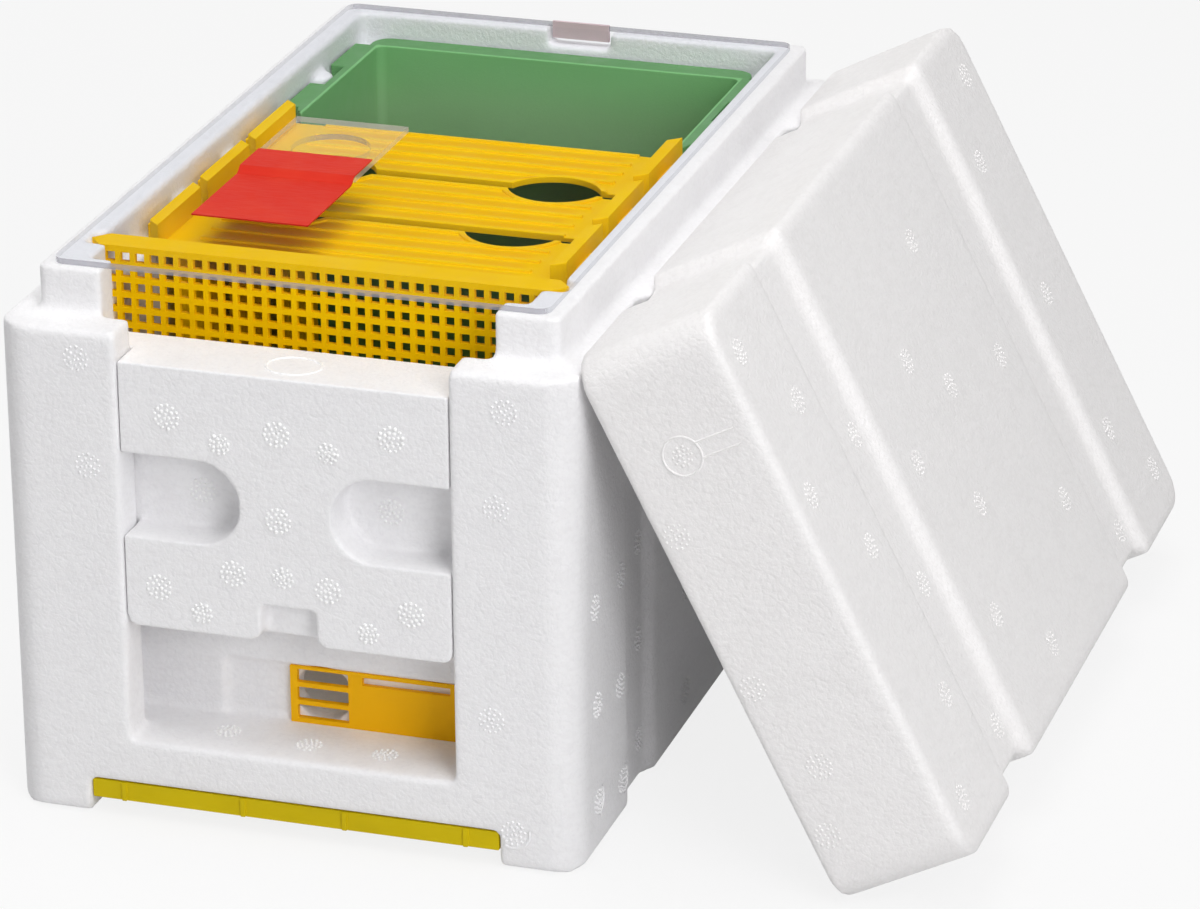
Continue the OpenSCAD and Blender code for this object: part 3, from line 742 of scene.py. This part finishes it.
@dataclass
class VentMarks:
    """Round groups of small foam pips that a mould's steam vents leave on one body."""

    name: str
    body: str
    marks: list[Mark]
    finish: Finish = Finish.FOAM
    pip_radius: float = 0.42
    pip_rise: float = 0.4
    pip_seat: float = 0.12
    pip_tilts: tuple[float, ...] = (0.0, 38.0, 66.0)
    sides: int = 7
    seed: int = 7
    top_turn: float = 6.28
    ring_turn: float = 0.7
    scatter: float = 0.06
    growth: Pair = (0.82, 1.12)

    def centres(self, size: VentSize, turn: float) -> np.ndarray:
        """Pip centres of one mark: evenly spaced on rings, each ring turned by its own angle.

        Args:
            size: The mark's rings.
            turn: Angle of the whole mark.

        Returns:
            Rows of two numbers, in millimetres from the mark's middle.
        """
        radii, counts = size.value
        radius = np.repeat(radii, counts)
        share = np.concatenate([np.arange(n) / n for n in counts])
        ring = np.repeat(np.arange(len(counts)), counts)
        angle = 2.0 * np.pi * share + turn + self.ring_turn * ring
        return np.stack([radius * np.cos(angle), radius * np.sin(angle)], axis=-1)

    def build(self) -> bpy.types.Object:
        """Each pip is a dome: rings of corners at falling radius and rising height, and a tip."""
        rng = np.random.default_rng(self.seed)
        tilt = np.radians(np.array(self.pip_tilts))
        turn = 2.0 * np.pi * np.arange(self.sides) / self.sides
        blocks = []
        for face, u, v, size in self.marks:
            middle = self.centres(size, rng.uniform(0.0, self.top_turn))
            middle = middle + rng.normal(0.0, self.scatter, middle.shape)
            grow = rng.uniform(*self.growth, len(middle))[:, None, None]
            reach = self.pip_radius * np.cos(tilt)[None, :, None] * grow
            rise = self.pip_rise * np.sin(tilt)[None, :, None] * grow
            x = u + middle[:, 0, None, None] + reach * np.cos(turn)
            y = v + middle[:, 1, None, None] + reach * np.sin(turn)
            z = np.broadcast_to(rise, x.shape) - self.pip_seat * (tilt == 0.0)[None, :, None]
            rings = face.place(x, y, z).reshape(len(middle), -1, 3)
            tip = face.place(u + middle[:, 0], v + middle[:, 1], self.pip_rise * grow[:, 0, 0])
            blocks.append(np.concatenate([rings, tip[:, None]], axis=1))
        corners = np.concatenate(blocks)
        faces = self._faces(len(corners), len(tilt))
        return finished(mesh_object(self.name, corners, faces, self.finish), self.body)

    def _faces(self, pips: int, rings: int) -> np.ndarray:
        """Faces of all pips as triangles, the same pattern moved on from pip to pip."""
        quads = grid_faces(rings, self.sides, wrap=True)
        last = (rings - 1) * self.sides + np.arange(self.sides)
        tip = np.full(self.sides, rings * self.sides)
        cap = np.stack([last, np.roll(last, -1), tip], axis=-1)
        one = np.concatenate([quads[:, [0, 1, 2]], quads[:, [0, 2, 3]], cap])
        step = (rings * self.sides + 1) * np.arange(pips)
        return (step[:, None, None] + one).reshape(-1, 3)


@dataclass
class Bead:
    """A low rounded ridge along a line on a face, such as the edge of a mould insert."""

    name: str
    body: str
    face: Face
    line: np.ndarray
    closed: bool = False
    finish: Finish = Finish.LID_FOAM
    width: float = 0.65
    rise: float = 0.3
    seat: float = 0.12
    columns: int = 7

    def build(self) -> bpy.types.Object:
        """Carries a half-round profile along the line, square to it and out of the face."""
        way = np.asarray(self.line, float)
        if self.closed:
            ahead = np.roll(way, -1, 0) - np.roll(way, 1, 0)
        else:
            ahead = np.gradient(way, axis=0)
        ahead /= np.linalg.norm(ahead, axis=1, keepdims=True)
        across = np.stack([-ahead[:, 1], ahead[:, 0]], axis=-1)
        angle = np.linspace(np.pi, 0.0, self.columns)
        side = 0.5 * self.width * np.cos(angle)
        height = self.rise * np.sin(angle)
        height[[0, -1]] = -self.seat
        u = way[:, 0, None] + across[:, 0, None] * side
        v = way[:, 1, None] + across[:, 1, None] * side
        corners = self.face.place(u, v, np.broadcast_to(height, u.shape))
        if self.closed:
            corners = np.concatenate([corners, corners[:1]])
        faces = grid_faces(len(corners), self.columns)[:, ::-1]
        return finished(mesh_object(self.name, corners, faces, self.finish), self.body)


# ---------------------------------------------------------------- sub-assemblies


@dataclass
class LidPlace:
    """Where the leaning lid stands, and its flat faces."""

    foot_x: float = 141.106
    shift_y: float = 2.6
    lean: float = np.radians(27.0)
    height: float = 37.0
    length: float = 240.0

    @property
    def up(self) -> Point:
        """Direction up the leaning top face."""
        return (-float(np.sin(self.lean)), 0.0, float(np.cos(self.lean)))

    @property
    def out(self) -> Point:
        """Direction out of the leaning top face."""
        return (float(np.cos(self.lean)), 0.0, float(np.sin(self.lean)))

    def upright(self) -> Matrix:
        """Turn that stands the leaning lid square to the axes."""
        return Matrix.Rotation(self.lean, 4, "Y")

    def foot(self, y: float, out: float) -> Point:
        """Point on the ground line of the lid's rim, moved along the box and out of the lid."""
        return tuple(np.array([self.foot_x, self.shift_y + y, 0.0]) + out * np.array(self.out))

    def top(self, depth: float = 0.0) -> Face:
        """The lid's top, or a groove's floor at a depth: along to the rear, then up the lean."""
        return Face(self.foot(0.0, self.height - depth), BACK, self.up)

    def front_end(self) -> Face:
        """The lid's front end: out from the rim side, then up the lean."""
        return Face(self.foot(-self.length / 2, 0.0), self.out, self.up)

    def rear_end(self) -> Face:
        """The lid's rear end: in from the top side, then up the lean."""
        inward = tuple(-part for part in self.out)
        return Face(self.foot(self.length / 2, self.height), inward, self.up)


@dataclass
class Lid:
    """The thick foam lid with its vent marks and the two keyhole mould marks.

    Marks on the top and in its grooves are given as the distance along the box and up the lean,
    those on the two ends as the distance out of the rim and up the lean.
    """

    place: LidPlace = field(default_factory=LidPlace)
    top_marks: Spots = (
        (-109.4, 136.4), (-91.2, 115.9), (-109.4, 97.3), (-90.6, 75.3), (-41.2, 77.9), (0.7, 83.0),
        (-18.5, 97.8), (-16.2, 55.6), (-89.9, 33.5), (-108.3, 13.1), (-38.9, 33.1), (-13.8, 13.4),
    )
    hidden_marks: Spots = (
        (108.0, 136.0), (90.0, 116.0), (41.0, 76.0), (90.0, 34.0), (108.0, 14.0), (38.0, 34.0),
        (20.0, 118.0), (92.0, 75.0),
    )
    groove_marks: Spots = ((-62.5, 95.7), (-65.1, 54.5), (-62.6, 12.9), (72.0, 10.8))
    groove_depth: float = 3.0
    end_marks: Spots = ((5.3, 60.0), (11.9, 36.0), (5.6, 18.8), (5.3, 102.0))
    pip_radius: float = 0.42
    pip_rise: float = 0.26
    filler: Pair = (16.2, 120.1)
    filler_radius: float = 5.0
    filler_points: int = 40
    stem_reach: Pair = (4.6, 15.2)
    stem_offset: float = 2.1
    stem_points: int = 12

    def build(self) -> None:
        """Builds the shell, then the marks on its top and its two ends."""
        FoamPiece(
            "foam_lid", "lid", "lid", Finish.LID_FOAM, cell=1.1, wear=8, keep=0.3,
            upright=self.place.upright()).build()
        front, rear, height = self.place.front_end(), self.place.rear_end(), self.place.height
        u, v = self.filler
        marks = marks_on(self.place.top(), self.top_marks + self.hidden_marks)
        marks += marks_on(self.place.top(self.groove_depth), self.groove_marks)
        marks += marks_on(front, self.end_marks)
        marks += marks_on(rear, tuple((height - out, up) for out, up in self.end_marks))
        marks += marks_on(front, ((u, v),), VentSize.SMALL)
        marks += marks_on(rear, ((height - u, v),), VentSize.SMALL)
        VentMarks(
            "lid_vent_pips", "lid", marks, Finish.LID_FOAM, self.pip_radius, self.pip_rise).build()
        self.keyhole(front, u, v, 1.0, "front")
        self.keyhole(rear, height - u, v, -1.0, "rear")

    def keyhole(self, face: Face, u: float, v: float, way: float, end: str) -> None:
        """Ring and two stem lines of a mould's filler mark, as low ridges on an end face.

        Args:
            face: The end face.
            u: Place of the ring's middle along the face.
            v: Place of the ring's middle up the face.
            way: Direction of the stem along the face, 1 or -1.
            end: Name of the end, for the pieces' names.
        """
        ring = oval((u, v), (self.filler_radius,) * 2, self.filler_points)
        Bead(f"lid_filler_ring_{end}", "lid", face, ring, closed=True).build()
        reach = u + way * np.linspace(*self.stem_reach, self.stem_points)
        for side, offset in (("upper", self.stem_offset), ("lower", -self.stem_offset)):
            line = np.stack([reach, np.full_like(reach, v + offset)], axis=-1)
            Bead(f"lid_filler_{side}_line_{end}", "lid", face, line).build()


@dataclass
class Hive:
    """The open box with its vent marks and the arcs beside three of them.

    Marks on the sides are given as the distance along the box and then up, on the right side as
    on the left. An arc is given as its middle and its first and last angle in degrees.
    """

    half_width: float = 75.0
    half_length: float = 120.0
    porch_z: float = 21.6
    front_marks: Spots = (
        (-53.1, 123.3), (57.2, 121.5), (52.8, 39.9), (58.2, 10.0), (-51.1, 95.3), (54.9, 96.3),
    )
    porch_marks: Spots = ((-21.5, -107.7), (0.9, -109.5), (21.1, -109.6))
    porch_pip_radius: float = 0.46
    side_marks: Spots = (
        (-105.3, 66.7), (-103.9, 40.0), (-103.6, 13.6), (-84.1, 66.6), (-85.5, 37.3), (-83.9, 10.4),
        (-29.7, 11.1), (-29.0, 40.0), (0.0, 66.0), (29.0, 12.0), (30.0, 41.0), (84.5, 11.0),
        (84.0, 66.0), (104.0, 14.0), (104.5, 40.0), (103.0, 112.0),
    )
    groove_marks: Spots = (
        (-60.5, 65.5), (-60.5, 39.0), (-60.5, 11.0), (62.0, 12.0), (62.0, 40.0), (62.0, 66.0),
    )
    groove_depth: float = 3.0
    rear_marks: Spots = (
        (-52.0, 118.0), (52.0, 120.0), (0.0, 98.0), (-30.0, 64.0), (31.0, 66.0), (-54.0, 22.0),
        (55.0, 20.0), (0.0, 36.0),
    )
    front_arcs: Arcs = ((58.2, 10.0, -125.0, 15.0),)
    right_arcs: Arcs = ((-103.6, 13.6, -80.0, 55.0), (-83.9, 10.4, -75.0, 65.0))
    arc_radius: float = 4.1
    arc_width: float = 0.7
    arc_points: int = 18

    def side(self, way: float, depth: float = 0.0) -> Face:
        """The right (1) or left (-1) side, or the floor of its grooves at a depth."""
        return Face((way * (self.half_width - depth), 0.0, 0.0), (0.0, way, 0.0), UP)

    def build(self) -> None:
        """Builds the box, then the marks on its front, sides, rear and porch floor."""
        FoamPiece(
            "foam_hive_box", "hive_body", "hive", Finish.FOAM, cell=0.95, wear=5, keep=0.3).build()
        front = Face((0.0, -self.half_length, 0.0), RIGHT, UP)
        porch = Face((0.0, 0.0, self.porch_z), RIGHT, BACK)
        rear = Face((0.0, self.half_length, 0.0), LEFT, UP)
        marks = marks_on(front, self.front_marks)
        for way in (1.0, -1.0):
            marks += marks_on(self.side(way), tuple((way * y, z) for y, z in self.side_marks))
            marks += marks_on(
                self.side(way, self.groove_depth),
                tuple((way * y, z) for y, z in self.groove_marks))
        marks += marks_on(rear, self.rear_marks)
        VentMarks("hive_vent_pips", "hive", marks).build()
        VentMarks("porch_vent_pips", "hive", marks_on(porch, self.porch_marks), Finish.PIP,
                  self.porch_pip_radius).build()
        arcs = [(front, *arc) for arc in self.front_arcs]
        arcs += [(self.side(1.0), *arc) for arc in self.right_arcs]
        for number, arc in enumerate(arcs, 1):
            self.arc(number, *arc)

    def arc(self, number: int, face: Face, u: float, v: float, start: float, end: float) -> None:
        """Low curved ridge around one side of a vent mark.

        Args:
            number: Number in the piece's name.
            face: The face that carries it.
            u: Place of its middle along the face.
            v: Place of its middle up the face.
            start: Angle at which it starts, in degrees.
            end: Angle at which it ends.
        """
        angle = np.radians(np.linspace(start, end, self.arc_points))
        turned = np.stack([np.cos(angle), np.sin(angle)], axis=-1)
        line = np.array([u, v]) + self.arc_radius * turned
        Bead(f"hive_vent_arc_{number}", "hive", face, line, finish=Finish.FOAM,
             width=self.arc_width).build()


@dataclass
class Gate:
    """The sliding foam gate with its vent marks and the ring on its top."""

    face_y: float = -119.0
    recess_y: float = -108.2
    top_z: float = 123.2
    face_marks: Spots = (
        (-30.2, 110.1), (-1.6, 108.6), (28.1, 110.8), (-1.8, 85.9), (-33.9, 64.3),
        (-14.1, 70.3), (10.7, 68.8), (32.2, 65.1),
    )
    small_marks: Spots = ((-16.6, 104.3), (11.7, 105.2), (-22.7, 58.7), (-1.0, 70.8), (20.9, 58.6))
    recess_marks: Spots = ((-25.8, 87.0), (23.8, 87.0))
    pip_radius: float = 0.5
    pip_rise: float = 0.5
    ring_middle: Pair = (-0.1, -109.4)
    ring_reach: Pair = (7.0, 5.7)
    ring_points: int = 36
    ring_width: float = 0.9
    ring_rise: float = 0.25

    def build(self) -> None:
        """Builds the gate, then the marks on its face, in its finger recesses and on its top."""
        FoamPiece(
            "foam_gate", "front_gate", "gate", Finish.FOAM, cell=0.7, wear=6, keep=0.6).build()
        face = Face((0.0, self.face_y, 0.0), RIGHT, UP)
        marks = marks_on(face, self.face_marks)
        marks += marks_on(face, self.small_marks, VentSize.SMALL)
        marks += marks_on(Face((0.0, self.recess_y, 0.0), RIGHT, UP), self.recess_marks)
        VentMarks(
            "gate_vent_pips", "gate", marks, Finish.PIP, self.pip_radius, self.pip_rise).build()
        top = Face((0.0, 0.0, self.top_z), RIGHT, BACK)
        ring = oval(self.ring_middle, self.ring_reach, self.ring_points)
        Bead("gate_top_ring", "gate", top, ring, closed=True, finish=Finish.PIP,
             width=self.ring_width, rise=self.ring_rise).build()


@dataclass
class FlapTape:
    """One strip of red tape from the clear sheet up over the flap's front edge."""

    middle_x: float = -26.9
    width: float = 31.1
    start_y: float = -68.0
    fold_y: float = -36.5
    flap_y: float = -33.5
    end_y: float = -20.5
    sheet_z: float = 143.6
    flap_z: float = 145.2
    thick: float = 0.4
    columns: int = 7
    flat_rows: int = 8
    fold_rows: int = 32

    def section_line(self) -> tuple[np.ndarray, np.ndarray]:
        """Where the tape's underside runs, over sheet, fold and flap.

        Returns:
            The places along the box and the heights, in millimetres.
        """
        y = np.concatenate([
            np.linspace(self.start_y, self.fold_y, self.flat_rows)[:-1],
            np.linspace(self.fold_y, self.flap_y, self.fold_rows),
            np.linspace(self.flap_y, self.end_y, self.flat_rows)[1:],
        ])
        share = np.clip((y - self.fold_y) / (self.flap_y - self.fold_y), 0.0, 1.0)
        return y, self.sheet_z + (self.flap_z - self.sheet_z) * share ** 2 * (3.0 - 2.0 * share)

    def build(self) -> bpy.types.Object:
        """Carries a thin oblong along that line, closes both ends and bends it at the fold."""
        y, low = self.section_line()
        x = self.middle_x + self.width * np.linspace(-0.5, 0.5, self.columns)
        around = 2 * self.columns
        lift = np.concatenate([np.zeros(self.columns), np.full(self.columns, self.thick)])
        px = np.broadcast_to(np.concatenate([x, x[::-1]]), (len(y), around))
        py = np.broadcast_to(y[:, None], px.shape)
        corners = np.stack([px, py, low[:, None] + lift], axis=-1) * MM
        ends = np.arange(self.columns - 1)
        back = around - 1 - ends
        cap = np.stack([ends, back, back - 1, ends + 1], axis=-1)
        last = (len(y) - 1) * around
        faces = np.concatenate(
            [grid_faces(len(y), around, wrap=True), cap, last + cap[:, ::-1]])
        made = mesh_object("red_flap_tape", corners, faces, Finish.RED, smooth=False)
        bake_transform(made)
        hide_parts("flap_tape_fixed", "flap_tape_moving")
        LOG.info("%s bends between cover and flap", made.name)
        return made


@dataclass
class Fittings:
    """The moulded plastic pieces, the tape and the clear sheets."""

    moulded: tuple[MouldedPiece, ...] = (
        *(MouldedPiece(
            f"{place}_comb_frame", f"frame_{place}", f"{place} frame", Finish.FRAME, ease=0.25)
          for place in ("front", "middle", "rear")),
        MouldedPiece("feeder_tub", "feeder", "feeder", Finish.GREEN, ease=0.3),
        MouldedPiece(
            "slotted_entrance_slider", "entrance_slider", "entrance", Finish.ORANGE, ease=0.2),
        MouldedPiece("ribbed_floor_slide", "floor_slide", "floor", Finish.OLIVE, ease=0.2),
        MouldedPiece("grey_cover_tab", "cover_tab", "cover", Finish.MAUVE, ease=0.1, swell=0.06),
    )
    plain: tuple[tuple[str, Finish], ...] = (
        ("vent_grille", Finish.YELLOW), ("inner_cover", Finish.CLEAR), ("cell_flap", Finish.FLAP),
    )

    def build(self) -> None:
        """Builds the eased plastic pieces and the tape, and dresses the solids that stay."""
        for piece in self.moulded:
            piece.build()
        FlapTape().build()
        for node, finish in self.plain:
            self.dress(node, finish)

    @staticmethod
    def dress(node: str, finish: Finish) -> None:
        """Gives a solid that keeps its mesh its material."""
        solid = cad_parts[node]
        solid.data.materials.clear()
        solid.data.materials.append(finish.material)
        LOG.info("%s keeps its solid", node)


# ---------------------------------------------------------------- studio


@dataclass(frozen=True)
class Softbox:
    """One square area lamp that faces a point on the object."""

    name: str
    place: Point
    size: float
    power: float
    colour: Colour = WHITE
    target: Point = (0.03, 0.0, 0.07)

    def build(self) -> None:
        """Makes the lamp and turns it to its target."""
        data = bpy.data.lights.new(self.name, "AREA")
        data.shape, data.size = "SQUARE", self.size
        data.energy, data.color = self.power, self.colour
        lamp = bpy.data.objects.new(self.name, data)
        lamp.location = self.place
        aim = Vector(self.target) - lamp.location
        lamp.rotation_euler = aim.to_track_quat("-Z", "Y").to_euler()
        bpy.context.scene.collection.objects.link(lamp)


@dataclass
class Studio:
    """Floor, light and the camera at the photograph's angle."""

    lens: float = 167.2007
    sensor: float = 36.0
    clip: Pair = (0.02, 50.0)
    eye: Point = (0.4568657, -1.2901752, 0.6155645)
    right: Point = (0.95305642, 0.30270308, -0.00736887)
    down: Point = (0.10796741, -0.3624692, -0.92572086)
    floor_reach: float = 6.0
    floor_z: float = -0.0002
    ambient: float = 0.1
    lamps: tuple[Softbox, ...] = (
        Softbox("key_softbox", (1.23, -1.43, 0.79), 0.7, 12.0, (0.99, 0.985, 1.0)),
        Softbox("top_softbox", (0.0, -0.1, 1.6), 1.0, 12.6, (1.0, 0.994, 0.988)),
        Softbox("high_front_softbox", (0.9, -0.9, 1.4), 0.8, 8.3),
        Softbox("left_softbox", (-1.2, -1.35, 0.8), 0.8, 3.2),
        Softbox("rear_softbox", (-1.55, 1.05, 0.6), 0.9, 8.0),
    )

    def build(self) -> None:
        """Builds the floor, the lamps, the world and the camera."""
        self.floor()
        for lamp in self.lamps:
            lamp.build()
        self.world()
        self.camera()
        bpy.context.scene.view_settings.view_transform = "Standard"

    def floor(self) -> None:
        """A large flat sheet just under the object."""
        mesh = bpy.data.meshes.new("studio_floor")
        corners = ((-1.0, -1.0), (1.0, -1.0), (1.0, 1.0), (-1.0, 1.0))
        mesh.from_pydata(
            [(x * self.floor_reach, y * self.floor_reach, self.floor_z) for x, y in corners],
            [], [(0, 1, 2, 3)])
        mesh.materials.append(PaleFloor().material())
        linked("studio_floor", mesh)

    def world(self) -> None:
        """Even white light that shows as plain white to the camera and in glosses."""
        g = Graph(bpy.data.worlds.new("studio"))
        strength = g.node("ShaderNodeMapRange", inputs={
            "Value": g.seen_directly(), "To Min": self.ambient, "To Max": 1.0})
        bpy.context.scene.world = g.surface(g.node("ShaderNodeBackground", inputs={
            "Color": (*WHITE, 1.0), "Strength": strength}))

    def camera(self) -> None:
        """The camera, from its place and the directions of its right and its down."""
        right, down = Vector(self.right).normalized(), Vector(self.down).normalized()
        back = right.cross(-down)
        data = bpy.data.cameras.new("camera")
        data.lens, data.sensor_width, data.sensor_fit = self.lens, self.sensor, "HORIZONTAL"
        data.clip_start, data.clip_end = self.clip
        made = bpy.data.objects.new("camera", data)
        turn = Matrix((right, -down, back)).transposed().to_4x4()
        made.matrix_world = Matrix.Translation(self.eye) @ turn
        bpy.context.scene.collection.objects.link(made)
        bpy.context.scene.camera = made


def main() -> None:
    """Builds the studio and every sub-assembly in order."""
    logging.basicConfig(level=logging.INFO, format="%(message)s")
    for part in (Studio(), Hive(), Gate(), Fittings(), Lid()):
        part.build()


if __name__ == "__main__":
    main()
